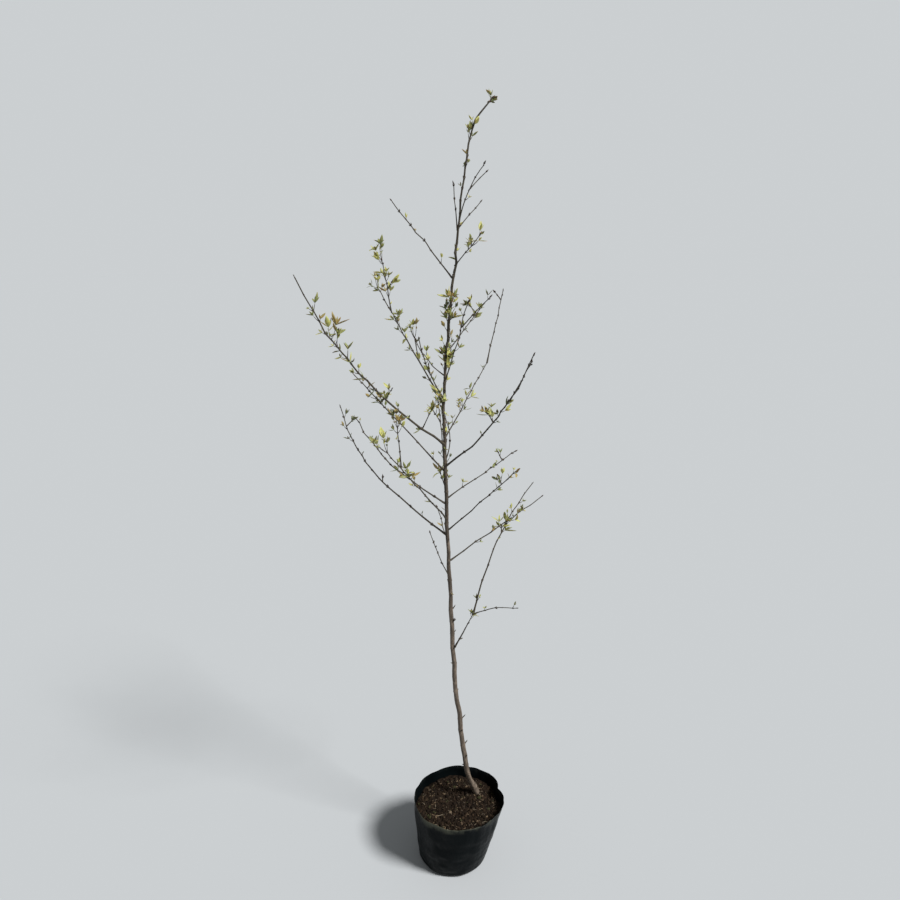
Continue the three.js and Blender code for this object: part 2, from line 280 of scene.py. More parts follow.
def read_limb(node, bins, count, samples):
    """A limb's middle line and radii from its skin.

    The samples are put in order along the skin's longest direction and averaged bin by bin. Then
    each is put in order again along the line so found, and averaged once more. A radius is the
    mean distance from the line of the samples in a bin.
    """
    skin = skin_samples(node, samples)
    middle = skin.mean(0)
    longest = np.linalg.svd(skin - middle, full_matrices=False)[2][0]
    order = (skin - middle) @ (longest * np.sign(longest[2]))
    for _ in range(2):
        low, high = order.min(), order.max()
        which = np.clip(((order - low) / (high - low) * bins).astype(int), 0, bins - 1)
        line = bin_means(skin, which, bins)
        line = np.concatenate([[1.5 * line[0] - 0.5 * line[1]], line, [1.5 * line[-1] - 0.5 * line[-2]]])
        fine, _ = evenly(line, np.zeros(len(line)), 8 * bins, 8)
        nearest = distances(skin, fine).argmin(1)
        order = nearest.astype(float)
    away = distances(skin, fine).min(1)[:, None]
    radius = bin_means(away, (nearest // 8).astype(int), bins)[:, 0]
    radius = np.concatenate([radius[:1], radius, radius[-1:]])
    return Limb(node, *evenly(line, radius, count, 3))


def rooted(limb, others):
    """The limb carried on from its cut end to the middle of the limb that it grows from."""
    gaps = [distances(limb.line[:1], other.line)[0] for other in others]
    nearest = min(range(len(others)), key=lambda i: (gaps[i] - others[i].radius).min())
    parent = others[nearest]
    heart = parent.line[gaps[nearest].argmin()]
    line = np.concatenate([[heart], limb.line])
    radius = np.concatenate([limb.radius[:1], limb.radius])
    return Limb(limb.name, *evenly(line, radius, len(limb.line), 2))


# --- Growth -----------------------------------------------------------------------------

# Small twigs too thin for solids of their own are dealt out over the limbs by length: how many there
# are, where along a limb they may stand, the most they lean from upright in degrees, their lengths in
# millimetres, and the share of them whose tip is in leaf.
TWIG_COUNT = 17
TWIG_SHARES = (0.3, 0.95)
TWIG_LEAN = 50
TWIG_LENGTHS = (6, 34)
TWIGS_IN_LEAF = 0.45


@dataclass
class Joints:
    """Where a limb's pairs of buds stand, as shares of its length, and how far each pair is turned
    round it.
    """

    shares: np.ndarray
    turns: np.ndarray
    swells: np.ndarray


@dataclass
class Sites:
    """Places on limbs where something grows: the place on the bark, the way out of it, the limb's own
    way there, how leafy the plant is round it, and how high it is.
    """

    place: np.ndarray
    out: np.ndarray
    along: np.ndarray
    leafy: np.ndarray
    height: np.ndarray

    def pick(self, mask):
        return Sites(*(getattr(self, f)[mask] for f in self.__dataclass_fields__))


def joints_of(limb, gap, rng):
    """Joints whose gaps differ by a quarter either way and close up by a third towards the tip. Each
    pair is turned a quarter round from the last.
    """
    count = int(3 * limb.length / gap) + 2
    places = np.cumsum(gap * rng.uniform(0.75, 1.25, count) / limb.length)
    places = places - 0.33 * places * smooth_step(0.2, 1.2, places)
    shares = places[places < 0.97]
    turns = rng.uniform(0, TAU) + np.arange(len(shares)) * TAU / 4
    turns = turns + rng.normal(0, 0.2, len(shares))
    return Joints(shares, turns, rng.uniform(0.5, 1.4, len(shares)))


def kinked(limb, joints, size, rng):
    """The limb with its line set off a little sideways at each joint, by a different amount each time,
    and eased over about 4 mm.
    """
    level, high = side_axes(limb.at(joints.shares)[1])
    off = level * rng.normal(0, size, (len(level), 1)) + high * rng.normal(0, size, (len(level), 1))
    own = np.linspace(0, 1, len(limb.line))
    knots = np.concatenate([[0], joints.shares, [1]])
    off = np.concatenate([[0 * UP], off, [0 * UP]])
    moved = np.stack([np.interp(own, knots, c) for c in off.T], -1)
    ease = max(1, round(4 * MM * len(own) / limb.length))
    return Limb(limb.name, *evenly(limb.line + moved, limb.radius, len(own), ease))


def side_axes(ways):
    """Two unit vectors square to each way: a level one, and one that points up from the limb."""
    level = np.where(np.abs(ways[..., 2:]) > 0.97, np.array([1.0, 0, 0]), np.cross(ways, UP))
    level = unit(across(level, ways))
    return level, np.cross(level, ways)


def sites_on(limb, joints, hearts, growth):
    """Two opposite sites at each joint. The plant is leafy near the hearts of its masses of leaves, and
    somewhat so all over its sunny upper left.
    """
    points, ways, radius = limb.at(joints.shares)
    level, high = side_axes(ways)
    turns = np.concatenate([joints.turns, joints.turns + TAU / 2])[:, None]
    level, high, ways, points = (np.tile(v, (2, 1)) for v in (level, high, ways, points))
    out = level * np.cos(turns) + high * np.sin(turns)
    place = points + 0.8 * np.tile(radius, 2)[:, None] * out
    near = np.exp(-distances(points, hearts).min(1) / growth.leafy_reach)
    to_tip = np.tile(1 - joints.shares, 2) * limb.length
    sunny = smooth_step(0.03, -0.1, points[:, 0]) * smooth_step(0.8, 0.95, points[:, 2])
    sunny = sunny * smooth_step(1.26, 1.14, points[:, 2]) * smooth_step(15 * MM, 65 * MM, to_tip)
    return Sites(place, out, ways, np.maximum(near, 0.68 * sunny), points[:, 2])


def merged(groups):
    """Several groups of sites as one."""
    names = Sites.__dataclass_fields__
    return Sites(*(np.concatenate([getattr(g, n) for g in groups]) for n in names))


def curved_lines(place, way, bend, length, stations):
    """Lines that leave a place along a way and bend towards another: place + length * (t * way + t^2 *
    bend).
    """
    t = np.linspace(0, 1, stations)[None, :, None]
    return place[:, None] + length[:, None, None] * (t * way[:, None] + t * t * bend[:, None])


def bud_skin(sites, length, lean, rng):
    """Pointed buds of overlapping scales: each is a strand whose half width is sin(pi t^0.6) of a
    fullness, with two shallow waists for its scales.
    """
    t = np.linspace(0, 1, 7)
    size = length * rng.uniform(0.55, 1.3, len(sites.place))
    way = unit(sites.along + lean * sites.out)
    centres = curved_lines(sites.place, way, 0.25 * sites.along - 0.15 * sites.out, size, len(t))
    profile = np.sin(math.pi * t**0.6) ** 0.8 * (1 - 0.12 * np.cos(t * 3 * TAU)) + 0.06
    wide = 0.23 * size[:, None] * profile
    sides = np.broadcast_to(np.cross(sites.along, sites.out)[:, None], centres.shape)
    return strands(centres, sides, wide, around=7)


def leaf_skin(place, way, face, length, kinds, shape, rng):
    """Young leaves with a short stalk: closed thin blades.

    The half width is slim * sin(pi s^0.8)^1.05 of the length past the stalk. The middle line curls
    by an angle that grows evenly along it, cupped towards the face or arched back from it, and the
    two halves fold up from the midrib.
    """
    count, stations = len(place), 7
    t = np.linspace(0, 1, stations)
    curl = rng.normal(shape.curl, 0.45, count)[:, None]
    face = unit(across(face, way))
    turned = curl * t
    forward, back = np.sin(turned) / (curl + 1e-6), (1 - np.cos(turned)) / (curl + 1e-6)
    centres = place[:, None] + length[:, None, None] * (
        forward[..., None] * way[:, None] + back[..., None] * face[:, None]
    )
    s = np.clip((t - 0.08) / 0.92, 0, 1)
    slim = shape.slimness * rng.uniform(0.75, 1.25, (count, 1))
    wide = length[:, None] * (0.026 + slim * np.sin(math.pi * s**0.8) ** 1.05)
    thick = np.minimum(0.16 * MM, 0.4 * wide) * (1.2 - t)
    fold = np.broadcast_to(rng.uniform(0.15, 0.75, (count, 1)), wide.shape)
    sides = np.broadcast_to(np.cross(face, way)[:, None], centres.shape)
    return strands(centres, sides, wide, thick, around=8, fold=fold, kinds=kinds)


@dataclass
class LeafShape:
    slimness: float
    curl: float


def tuft(place, way, size, leaves, spread, kinds, shape, rng):
    """Leaves in crossing pairs at a tip, from large and spreading to small and upright: the first leans
    out from the way by about `spread`. The last pair of a big tuft has the finish of its young heart.
    """
    count = len(place)
    level, high = side_axes(way)
    order = np.arange(leaves)
    turns = rng.uniform(0, TAU, (count, 1)) + order % 2 * TAU / 2 + order // 2 * TAU / 4
    turns = turns + rng.normal(0, 0.18, (count, leaves))
    out = level[:, None] * np.cos(turns)[..., None] + high[:, None] * np.sin(turns)[..., None]
    lean = spread * rng.uniform(0.7, 1.25, (count, leaves, 1)) * np.linspace(1, 0.35, leaves)[:, None]
    heads = unit(np.cos(lean) * way[:, None] + np.sin(lean) * out)
    faces = unit(way[:, None] - 0.3 * out)
    lengths = size[:, None] * rng.uniform(0.75, 1.15, (count, leaves)) * np.linspace(1, 0.55, leaves)
    starts = np.repeat(place[:, None], leaves, 1)
    flat = [v.reshape(-1, 3) for v in (starts, heads, faces)]
    dealt = np.repeat(kinds[:, None], leaves, 1)
    dealt[:, 4:] = rng.choice([1, 2], (count, 1), p=[0.6, 0.4])
    return leaf_skin(*flat, lengths.reshape(-1), dealt.reshape(-1), shape, rng)


def shoot_skin(lines, thickness, taper=0.55):
    """Thin shoots: round strands that taper evenly and end in a blunt point."""
    stations = lines.shape[1]
    t = np.linspace(0, 1, stations)
    wide = thickness[:, None] * (1 - (1 - taper) * t) * np.where(t == 1, 0.4, 1)
    ways = unit(lines[:, -1] - lines[:, 0])
    level, _ = side_axes(ways)
    return strands(lines, np.repeat(level[:, None], stations, 1), wide, around=6)


@dataclass
class Plant:
    """The limbs with their joints, and the sites on them, kept between the operators."""

    trunk: Limb = None
    boughs: list = field(default_factory=list)
    twigs: list = field(default_factory=list)
    leafy_twigs: list = field(default_factory=list)
    joints: dict = field(default_factory=dict)
    sites: Sites = None

    @property
    def limbs(self):
        return [self.trunk, *self.boughs, *self.twigs]


plant = Plant()


def mass_middles():
    """The middle of each mass of leaves."""
    boxes = [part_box(name) for name in LEAF_MASSES]
    return np.array([(np.array(low) + np.array(high)) / 2 for low, high in boxes])


def small_twig(index, parent, share, leans, length, rng):
    """A thin limb that leaves its parent with the given leans and bends up a little."""
    place, _, _ = parent.at(np.array([share]))
    way = unit(np.array([[math.tan(math.radians(lean)) for lean in leans] + [1.0]]))
    bend = 0.18 * UP + rng.normal(0, 0.1, (1, 3))
    line = curved_lines(place, way, bend, np.array([length]) * MM, 24)[0]
    return Limb(f"twig_{index}", line, np.linspace(0.85, 0.55, len(line)) * MM)


def read_plant(growth):
    """Reads the trunk and boughs once, adds the small twigs, and sets out the joints and sites of all."""
    if plant.trunk:
        return plant
    rng = np.random.default_rng(growth.seed)
    trunk = read_limb("trunk", 110, 900, 26000)
    boughs = [read_limb(name, 26, 120, 5000) for name in BOUGHS]
    whole = [trunk, *boughs]
    boughs = [rooted(limb, [o for o in whole if o is not limb]) for limb in boughs]
    for limb in (trunk, *boughs):
        joints = joints_of(limb, growth.joint_gap, rng)
        plant.joints[limb.name] = joints
        bent = kinked(limb, joints, growth.kinks, rng)
        if limb is trunk:
            plant.trunk = bent
        else:
            plant.boughs.append(bent)
    limbs = list(plant.limbs)
    reach = np.array([np.linalg.norm(np.diff(limb.line, axis=0), axis=1).sum() for limb in limbs])
    parents = rng.choice(len(limbs), TWIG_COUNT, p=reach / reach.sum())
    for index, parent in enumerate(parents):
        share, length = rng.uniform(*TWIG_SHARES), rng.uniform(*TWIG_LENGTHS)
        leans = rng.uniform(-TWIG_LEAN, TWIG_LEAN, 2)
        twig = small_twig(index, limbs[parent], share, leans, length, rng)
        plant.twigs.append(twig)
        plant.joints[twig.name] = joints_of(twig, 0.45 * growth.joint_gap, rng)
        if rng.random() < TWIGS_IN_LEAF:
            plant.leafy_twigs.append(twig)
    hearts = np.concatenate([mass_middles(), [twig.line[-1] for twig in plant.leafy_twigs]])
    groups = [sites_on(limb, plant.joints[limb.name], hearts, growth) for limb in plant.limbs]
    plant.sites = merged(groups)
    return plant


# --- Shaders ----------------------------------------------------------------------------


class Value:
    """A number's socket. Arithmetic on it adds Math nodes."""

    def __init__(self, net, socket):
        self.net, self.socket = net, socket

    def _with(self, operation, *terms, clamp=False):
        inputs = dict(enumerate(terms))
        node = self.net.add("ShaderNodeMath", {"operation": operation, "use_clamp": clamp}, inputs)
        return Value(self.net, node.outputs[0])

    def __add__(self, other):
        return self._with("ADD", self, other)

    def __mul__(self, other):
        return self._with("MULTIPLY", self, other)

    def __sub__(self, other):
        return self._with("SUBTRACT", self, other)

    def __rsub__(self, other):
        return self._with("SUBTRACT", other, self)

    __radd__ = __add__
    __rmul__ = __mul__

    def above(self, low, high):
        """0 at low and below, 1 at high and above."""
        return self._with("MULTIPLY_ADD", self, 1 / (high - low), -low / (high - low), clamp=True)


class Net:
    """A material built from nodes round one Principled shader."""

    def __init__(self, name, roughness, **constants):
        self.material = bpy.data.materials.new(name)
        self.material.use_nodes = True
        self.tree = self.material.node_tree
        self.tree.nodes.clear()
        self.output = self.add("ShaderNodeOutputMaterial")
        constants = {key.replace("_", " "): value for key, value in constants.items()}
        self.shader = self.add("ShaderNodeBsdfPrincipled", {}, {"Roughness": roughness, **constants})
        self.tree.links.new(self.shader.outputs[0], self.output.inputs["Surface"])
        self.place = self.add("ShaderNodeTexCoord").outputs["Object"]

    def add(self, kind, settings=None, inputs=None):
        """A node of a kind. Its settings are set first (`stops` are a ramp's), then its sockets take
        numbers, colours or links.
        """
        node = self.tree.nodes.new(kind)
        for key, value in (settings or {}).items():
            if key == "stops":
                while len(node.color_ramp.elements) < len(value):
                    node.color_ramp.elements.new(0.5)
                for element, (position, color) in zip(node.color_ramp.elements, value):
                    element.position, element.color = position, (*color, 1)
            else:
                setattr(node, key, value)
        for key, value in (inputs or {}).items():
            self.feed(node.inputs[key], value)
        return node

    def feed(self, socket, value):
        value = value.socket if isinstance(value, Value) else value
        if isinstance(value, bpy.types.NodeSocket):
            self.tree.links.new(value, socket)
        elif socket.type == "RGBA" and len(value) == 3:
            socket.default_value = (*value, 1)
        else:
            socket.default_value = value

    def set(self, **inputs):
        for key, value in inputs.items():
            self.feed(self.shader.inputs[key.replace("_", " ")], value)

    def noise(self, per_metre, detail=3.0, stretch=(1, 1, 1), rough=0.55):
        """A number between 0 and 1 that wanders over the surface, about `per_metre` times a metre."""
        place = self.add("ShaderNodeMapping", {}, {"Vector": self.place, "Scale": stretch})
        settings = {"Vector": place.outputs[0], "Scale": per_metre, "Detail": detail, "Roughness": rough}
        return Value(self, self.add("ShaderNodeTexNoise", {}, settings).outputs["Fac"])

    def cells(self, per_metre, stretch=(1, 1, 1)):
        """The distance to the nearest of many seeded points."""
        place = self.add("ShaderNodeMapping", {}, {"Vector": self.place, "Scale": stretch})
        inputs = {"Vector": place.outputs[0], "Scale": per_metre}
        node = self.add("ShaderNodeTexVoronoi", {}, inputs)
        return Value(self, node.outputs["Distance"])

    def axis(self, name):
        return Value(self, self.add("ShaderNodeSeparateXYZ", {}, {"Vector": self.place}).outputs[name])

    def layer(self, name):
        return Value(self, self.add("ShaderNodeAttribute", {"attribute_name": name}).outputs["Fac"])

    def mix(self, share, first, second):
        """A colour between two, by a number from 0 to 1."""
        settings = {"data_type": "RGBA", "clamp_factor": True}
        node = self.add("ShaderNodeMix", settings)
        self.feed(node.inputs[0], share)
        self.feed(node.inputs[6], first)
        self.feed(node.inputs[7], second)
        return node.outputs[2]

    def bump(self, height, depth):
        """Leans the surface's normal as if it had this relief, in metres."""
        inputs = {"Height": height, "Distance": depth, "Strength": 1.0}
        self.set(Normal=self.add("ShaderNodeBump", {}, inputs).outputs["Normal"])


def shade(colour, factor):
    """A colour made darker or lighter by a factor."""
    return tuple(min(1.0, c * factor) for c in colour)


def film_finish(pot):
    """Black polythene film: faintly green-blue, with a dull sheen, fine creases, dust in patches that
    gathers near the ground and the rim, and dried soil in patches along the front of the rim.
    """
    net = Net("Pot film", 0.42, Specular_IOR_Level=0.04)
    film, dust, silt = (tuple(c) for c in (pot.film_colour, pot.dust_colour, pot.silt_colour))
    patches = net.noise(28, 4)
    grain = net.noise(900, 2)
    rubbed = net.noise(130, 5, stretch=(1, 1, 0.35))
    height = net.axis("Z")
    low = 1 - height.above(0.004, 0.03)
    rim = height.above(0.12, 0.133)
    dusty = (patches * 0.8 + rubbed * 0.7 + low * 0.2 + rim * 0.3).above(0.92, 1.45)
    front = (net.axis("Y") * -1).above(0.02, 0.07)
    silted = rim * front * (patches + rubbed * 0.4).above(0.6, 0.76)
    colour = net.mix(patches, shade(film, 0.8), shade(film, 1.25))
    net.set(Base_Color=net.mix(silted * 0.8, net.mix(dusty * 0.5, colour, dust), silt))
    net.set(Roughness=dusty * 0.3 + rubbed * 0.2 + 0.26)
    net.bump(rubbed * 0.6 + grain * 0.1 + patches * 0.6, 1.4 * MM)
    return net.material


def earth_finish(name, colour, pale, per_metre):
    """Moist potting soil or one of its crumbs: a dark ground with paler, drier specks and a rough
    crumbly relief.
    """
    net = Net(name, 0.92, Specular_IOR_Level=0.12)
    broad, fine = net.noise(per_metre * 0.2, 3), net.noise(per_metre, 4)
    ground = net.mix(broad.above(0.35, 0.7), shade(colour, 0.65), shade(colour, 1.35))
    net.set(Base_Color=net.mix(fine.above(0.58, 0.74) * 0.7, ground, pale))
    net.set(Roughness=fine * 0.2 + 0.76)
    net.bump(fine * 0.8 + broad * 0.5, 1.3 * MM)
    return net.material


def bark_finish(name, old, young, shoot):
    """Smooth young bark: grey-brown where old, olive and darker towards the tips, with fine lengthwise
    cracks, pale breathing pores and a soft mottle.
    """
    net = Net(name, 0.7, Specular_IOR_Level=0.35)
    age = net.layer("age")
    streaks = net.noise(750, 4, stretch=(1, 1, 0.12))
    mottle = net.noise(120, 5, stretch=(1, 1, 0.45), rough=0.65)
    pores = 1 - net.cells(330, stretch=(1, 1, 2.1)).above(0.12, 0.3)
    scattered = pores * net.noise(140, 1).above(0.5, 0.56)
    green = net.mix(age.above(0.35, 0.8), shoot, young)
    brown = net.mix((age + mottle * 0.6).above(0.95, 1.4), green, old)
    cracked = net.mix(streaks.above(0.46, 0.66) * 0.7, brown, shade(young, 0.55))
    mottled = net.mix(mottle.above(0.5, 0.62) * age * 0.75, cracked, shade(old, 1.6))
    net.set(Base_Color=net.mix(scattered * 0.5, mottled, shade(old, 1.7)))
    net.set(Roughness=streaks * 0.22 + 0.58)
    net.bump(streaks * -0.5 + scattered * 0.4 + mottle * 0.25, 0.5 * MM)
    return net.material


def leaf_finish(name, colour):
    """A soft young leaf: one plain colour with a slight mottle, a faint gloss, and light scattered
    inside it.
    """
    net = Net(name, 0.5, Specular_IOR_Level=0.4, Subsurface_Weight=0.12, Subsurface_Scale=1.0 * MM)
    mottle, veins = net.noise(260, 3), net.noise(1400, 2)
    net.set(Base_Color=net.mix(mottle, shade(colour, 0.78), shade(colour, 1.2)))
    net.set(Roughness=veins * 0.25 + 0.38)
    net.bump(veins, 0.12 * MM)
    return net.material


def husk_finish(name, colour, pale):
    """Bud scales, bark chips and straw: a dry fibrous surface with paler fibres."""
    net = Net(name, 0.75, Specular_IOR_Level=0.3)
    fibres, broad = net.noise(1500, 3, stretch=(1, 1, 0.3)), net.noise(300, 2)
    tone = net.mix(broad, shade(colour, 0.7), shade(colour, 1.25))
    net.set(Base_Color=net.mix(fibres.above(0.55, 0.75) * 0.6, tone, pale))
    net.set(Roughness=fibres * 0.25 + 0.6)
    net.bump(fibres, 0.3 * MM)
    return net.material


# --- Settings ---------------------------------------------------------------------------


def size(name, description, default):
    """A length in metres."""
    return bpy.props.FloatProperty(
        name=name, description=description, default=default, min=0, precision=5, unit="LENGTH"
    )


def amount(name, description, default):
    """A plain number."""
    return bpy.props.FloatProperty(name=name, description=description, default=default, min=0)


def count_of(name, description, default):
    """A whole number."""
    return bpy.props.IntProperty(name=name, description=description, default=default, min=0)


def colour_of(name, description, default):
    """A colour, in linear light."""
    return bpy.props.FloatVectorProperty(
        name=name, description=description, default=default, size=3, min=0, max=1, subtype="COLOR"
    )


class GrowthSettings(bpy.types.PropertyGroup):
    """How buds, spurs and leaves are set out along the limbs."""

    seed: count_of("Seed", "Picks one growth out of many", 11)
    joint_gap: size("Joint gap", "Distance between pairs of buds", 31 * MM)
    kinks: size("Kinks", "How far a limb is set off sideways at its joints", 0.8 * MM)
    leafy_reach: size("Leafy reach", "How far leaves thin out round each mass of leaves", 42 * MM)
    bud: size("Bud length", "Length of a side bud", 3.4 * MM)
    tip_bud: size("Tip bud length", "Length of the bud at a limb's tip", 4.6 * MM)
    leaf: size("Leaf length", "Length of a full leaf in a tuft", 21 * MM)
    spur_leaf: size("Spur leaf length", "Length of a leaf on a spur", 16.5 * MM)
    slimness: amount("Slimness", "Half width of a leaf over its length", 0.17)


class BarkSettings(bpy.types.PropertyGroup):
    """The bark's relief and colours."""

    relief: size("Relief", "Depth of the trunk's ridges", 0.25 * MM)
    joint_swell: amount("Joint swell", "How far a joint stands out, over the radius", 0.42)
    old: colour_of("Old bark", "Bark low on the trunk", (0.125, 0.097, 0.073))
    young: colour_of("Young bark", "Bark high on the trunk and on boughs", (0.05, 0.038, 0.027))
    shoot: colour_of("Shoot", "Bark of this year's tips", (0.05, 0.041, 0.026))
    bud: colour_of("Bud", "Bud scales", (0.042, 0.026, 0.017))


class LeafSettings(bpy.types.PropertyGroup):
    """Leaf colours, dealt out spray by spray."""

    olive: colour_of("Olive", "Half open leaves", (0.19, 0.205, 0.065))
    lime: colour_of("Lime", "Young leaves", (0.40, 0.40, 0.12))
    bronze: colour_of("Bronze", "Leaves just out of the bud", (0.27, 0.215, 0.075))
    green: colour_of("Green", "The few full leaves", (0.095, 0.11, 0.042))


class PotSettings(bpy.types.PropertyGroup):
    """The pot's film."""

    thickness: size("Film thickness", "Thickness of the wall", 0.8 * MM)
    creases: size("Creases", "Depth of the film's soft dents", 1.0 * MM)
    foot: size("Foot rounding", "How far the wall rounds in to the underside", 13 * MM)
    film_colour: colour_of("Film", "The polythene", (0.0021, 0.0033, 0.0037))
    dust_colour: colour_of("Dust", "Dust on it", (0.02, 0.0225, 0.0185))
    silt_colour: colour_of("Silt", "Dried soil along the rim", (0.085, 0.088, 0.064))


class SoilSettings(bpy.types.PropertyGroup):
    """The soil's surface and what lies on it."""

    clods: count_of("Clods", "Larger lumps on the surface", 620)
    crumbs: count_of("Crumbs", "Crumbs on the surface", 2800)
    chips: count_of("Chips", "Bark chips on the surface", 420)
    straws: count_of("Straws", "Bits of straw and root on the surface", 26)
    lumps: size("Lumps", "Height of the surface's lumps", 2.8 * MM)
    earth: colour_of("Earth", "Moist soil", (0.0115, 0.0066, 0.0036))
    pale: colour_of("Pale earth", "Drier specks", (0.037, 0.0225, 0.0125))
    chip: colour_of("Chip", "Bark chips", (0.1, 0.068, 0.038))
    straw: colour_of("Straw", "Straw and root ends", (0.2, 0.16, 0.11))
    moss: colour_of("Moss", "The few mossy crumbs", (0.034, 0.033, 0.014))


class StageSettings(bpy.types.PropertyGroup):
    """The floor, lights and camera."""

    camera_height: size("Camera height", "Height of the camera above the ground", 1.169)
    camera_distance: size("Camera distance", "Level distance from the pot's middle", 1.185)
    camera_side: bpy.props.FloatProperty(
        name="Camera side", description="Level offset of the camera", default=-0.005, unit="LENGTH"
    )
    camera_pitch: bpy.props.FloatProperty(
        name="Camera pitch",
        description="How far the camera looks down",
        default=math.radians(15),
        subtype="ANGLE",
    )
    lens: bpy.props.FloatProperty(
        name="Lens", description="Focal length on a 36 mm sensor, in millimetres", default=28.24
    )
    floor: colour_of("Floor", "The plain floor", (0.40, 0.4136, 0.4218))
    sky: colour_of("Surroundings", "The plain surroundings", (0.60, 0.625, 0.64))
    ambient: amount("Ambient", "How strongly the surroundings light the plant", 0.45)
    sun: amount("Key light", "Strength of the soft key light", 5.2)


SETTINGS = {
    "sapling_growth": GrowthSettings,
    "sapling_bark": BarkSettings,
    "sapling_leaves": LeafSettings,
    "sapling_pot": PotSettings,
    "sapling_soil": SoilSettings,
    "sapling_stage": StageSettings,
}


# --- Pot and soil -----------------------------------------------------------------------


def node_points(node):
    """A CAD node's vertices, once each, to a hundredth of a millimetre."""
    mesh = NODES[node].data
    places = np.empty(len(mesh.vertices) * 3, np.float32)
    mesh.vertices.foreach_get("co", places)
    return np.unique(np.round(places.reshape(-1, 3).astype(float), 5), axis=0)


class Wall:
    """The pot's film as a smooth surface.

    The CAD pot's rings give its radius at each heading and height; a cubic in the height carries it
    between them, a bell-shaped mean rounds its corners, and a straight line carries its middle. The
    film adds soft dents, small crinkles, upright creases that deepen to the rim, a fold, and a rim
    that curls out.
    """

    def __init__(self, pot):
        points = node_points("pot")
        heights, counts = np.unique(points[:, 2], return_counts=True)
        self.top, self.foot, self.film, self.creases = heights[-1], pot.foot, pot.thickness, pot.creases
        full = [h for h in heights[counts >= 60] if h > 5 * MM]
        self.angles = np.arange(360) * TAU / 360
        rows, middles = [], []
        for height in full:
            ring = points[points[:, 2] == height]
            middle = ring[:, :2].mean(0)
            off = ring[:, :2] - middle
            angle, radius = np.arctan2(off[:, 1], off[:, 0]) % TAU, np.linalg.norm(off, axis=1)
            near = np.abs(np.exp(1j * angle)[:, None] - np.exp(1j * angle)[None]) < 0.04
            outer = radius >= (near * radius).max(1) - 0.2 * MM
            order = np.argsort(angle[outer])
            row = np.interp(self.angles, angle[outer][order], radius[outer][order], period=TAU)
            bell = np.exp(-((np.arange(-8, 9) / 3.2) ** 2))
            rows.append(np.convolve(np.concatenate([row[-8:], row, row[:8]]), bell / bell.sum(), "valid"))
            middles.append(middle)
        self.radii = np.polyfit(full, np.array(rows), 3)
        self.lean = np.polyfit(full, np.array(middles), 1)
        self.dents, self.crinkles = Waves(3, 52 * MM), Waves(4, 12 * MM)
        self.upright, self.level = Waves(5, 32 * MM), Waves(6, 26 * MM)

    def middle(self, height):
        """The wall's middle at a height."""
        return self.lean[0] * height[..., None] + self.lean[1]

    def face(self, angle, height):
        """The outer face's radius at headings and heights, as arrays of one shape."""
        powers = [np.interp(angle, self.angles, row, period=TAU) for row in self.radii]
        full = np.maximum(height, self.foot)
        radius = ((powers[0] * full + powers[1]) * full + powers[2]) * full + powers[3]
        place = np.stack([radius * np.cos(angle), radius * np.sin(angle), height], -1)
        rise = np.clip(height / self.top, 0, 1)
        relief = self.dents.at(place) * 0.8 + self.crinkles.at(place * [1, 1, 0.6]) * 0.2
        relief = relief + self.level.at(place * [0.8, 0.8, 1.3]) * 0.35 * (1 - rise)
        relief = relief + self.upright.at(place * [1, 1, 0.12]) * rise**2 * 0.8
        off = (angle - math.radians(13.5) + TAU / 2) % TAU - TAU / 2
        fold = -2.4 * MM * np.exp(-((off / 0.05) ** 2)) * smooth_step(0.5, 1, rise)
        curl = 1.2 * MM * smooth_step(self.top - 6 * MM, self.top, height)
        return radius + smooth_step(0, self.foot, height) * (self.creases * relief + fold + curl)


def film_skin(pot):
    """The pot's film as one closed shell.

    Rows run from the middle of the underside round the foot, up the wall, over the rim and down
    inside to the middle of the floor. A row holds a height, an inset from the wall's outer face and
    a share of the radius. The edge then rises and falls a little.
    """
    wall = Wall(pot)
    top, foot, film = wall.top, wall.foot, pot.thickness
    bend = np.linspace(0, math.pi / 2, 9)[1:]
    up, over = np.linspace(foot, top, 120)[1:], np.linspace(0, math.pi, 7)[1:-1]
    down = np.linspace(top, foot + film, 80)
    shares = np.linspace(0.02, 1, 9)
    rows = [
        np.stack([0 * shares, foot + 0 * shares, shares], -1),
        np.stack([foot * (1 - np.cos(bend)), foot * (1 - np.sin(bend)), 1 + 0 * bend], -1),
        np.stack([up, 0 * up, 1 + 0 * up], -1),
        np.stack([top + film / 2 * np.sin(over), film / 2 * (1 - np.cos(over)), 1 + 0 * over], -1),
        np.stack([down, film + 0 * down, 1 + 0 * down], -1),
        np.stack(
            [film + foot * (1 - np.cos(bend)), film + foot * (1 - np.sin(bend)), 1 + 0 * bend], -1
        )[-2::-1],
        np.stack([film + 0 * shares, film + foot + 0 * shares, shares[::-1]], -1),
    ]
    height, inset, share = np.concatenate(rows).T[..., None]
    angle = (TAU * np.arange(300) / 300)[None] + 0 * height
    height = height + 0 * angle
    full = np.minimum(height, top)
    radius = (wall.face(angle, full) - inset) * share
    dents = wall.dents.at(np.stack([np.cos(angle), np.sin(angle), 0 * angle], -1) * 0.09)
    edge = 1.5 * MM * np.sin(2 * angle + 0.8) + 0.9 * MM * np.sin(5 * angle) + 0.6 * MM * dents
    lifted = np.maximum(height + edge * smooth_step(0.8, 1, full / top), 0)
    middle = wall.middle(full)
    points = np.stack(
        [middle[..., 0] + radius * np.cos(angle), middle[..., 1] + radius * np.sin(angle), lifted], -1
    )
    return Skin(points.reshape(-1, 3), strand_faces(1, len(points), points.shape[1]))


